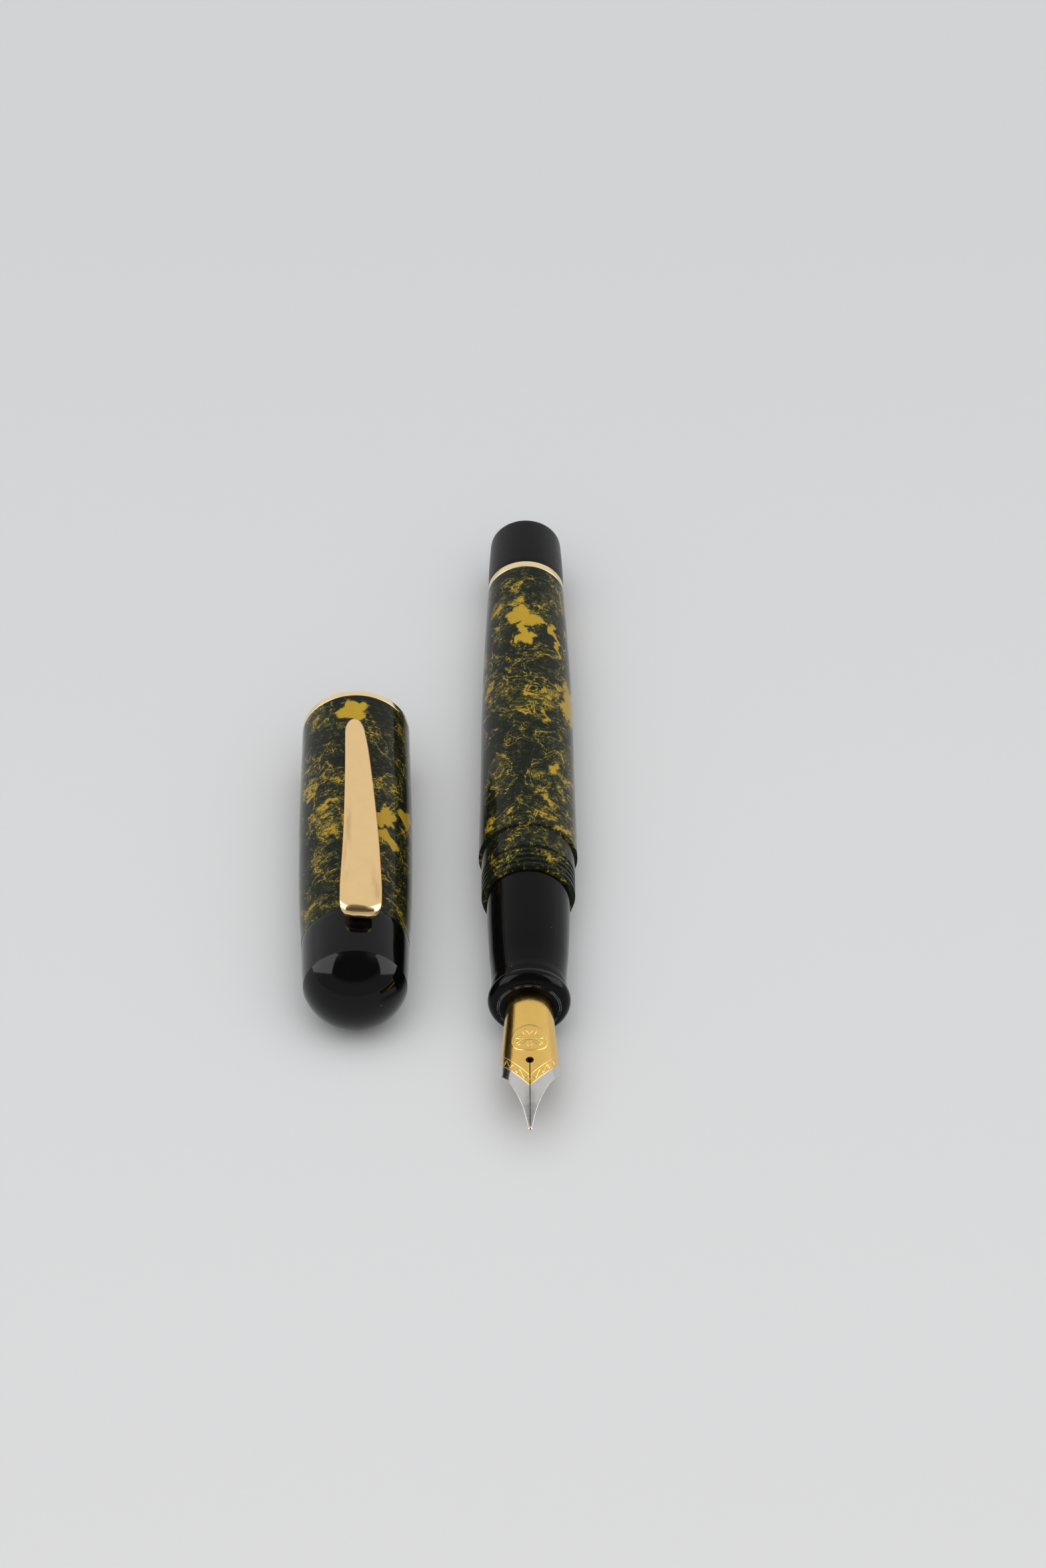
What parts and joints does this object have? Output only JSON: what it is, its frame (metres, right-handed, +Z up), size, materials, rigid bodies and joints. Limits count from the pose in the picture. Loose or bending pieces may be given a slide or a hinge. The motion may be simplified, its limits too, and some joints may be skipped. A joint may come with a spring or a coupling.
{
  "type": "fountain pen",
  "caption": "Uncapped piston-filling fountain pen in marbled hard rubber with a gold nib, and its screw cap with a sprung pocket clip lying beside it.",
  "frame": {"origin": "on the pen's axis, at the middle of the cylindrical stretch of the barrel", "axes": "+Y along the pen towards the turning knob, nib towards -Y; +Z up from the table; the cap lies at -X with its mouth towards +Y"},
  "size_m": [0.0419, 0.1314, 0.0195],
  "materials": {
    "marbled_ebonite": "polished hard rubber, almost black green with mustard marbling",
    "black_ebonite": "polished black hard rubber",
    "satin_black_ebonite": "satin black hard rubber",
    "gold_plate": "polished pale gold plate",
    "nib_gold": "polished gold with rhodium-plated tines",
    "pellet_metal": "polished tipping alloy",
    "steel": "turned stainless steel",
    "seal_rubber": "moulded rubber",
    "filler_plastic": "moulded plastic"
  },
  "bodies": {
    "pen": {"barrel": "marbled_ebonite", "section": "black_ebonite", "section_seal": "seal_rubber", "nib_collar": "black_ebonite", "feed": "black_ebonite", "nib": "nib_gold", "nib_tip": "pellet_metal", "filler_housing": "filler_plastic", "housing_seal": "seal_rubber", "barrel_ring": "gold_plate", "retaining_ring": "steel"},
    "knob": {"turning_knob": "satin_black_ebonite", "spindle": "steel", "friction_washer": "seal_rubber"},
    "piston": {"piston_rod": "filler_plastic", "piston_head": "filler_plastic", "piston_seal_front": "seal_rubber", "piston_seal_rear": "seal_rubber"},
    "cap_core": {"inner_cap": "black_ebonite"},
    "cap": {"cap_tube": "marbled_ebonite", "cap_lip_ring": "gold_plate", "cap_finial": "black_ebonite", "clip_ring": "gold_plate"},
    "clip": {"clip": "gold_plate"}
  },
  "joints": [
    {"name": "knob_turn", "type": "hinge", "parent": "pen", "child": "knob", "pos_m": [0, 0.04305, 0], "axis": [0, 1, 0], "range_deg": [0, 1980]},
    {"name": "piston_slide", "type": "slide", "parent": "pen", "child": "piston", "axis": [0, -1, 0], "range_m": [0, 0.022]},
    {"name": "cap_slide", "type": "slide", "parent": "pen", "child": "cap_core", "axis": [0.0216, -0.9998, 0], "range_m": [0, 0.057]},
    {"name": "cap_turn", "type": "hinge", "parent": "cap_core", "child": "cap", "pos_m": [-0.02564, -0.023, 0.0011], "axis": [-0.0216, 0.9998, 0], "range_deg": [0, 450]},
    {"name": "clip_flex", "type": "hinge", "parent": "cap", "child": "clip", "pos_m": [-0.02436, -0.04003, 0.00975], "axis": [0.9943, 0.0215, -0.1045], "range_deg": [0, 3], "stiffness_Nm_per_rad": 0.1}
  ],
  "couplings": [
    {"joint": "knob_turn", "follows": "piston_slide", "rad_per_m": 1570.8}
  ]
}
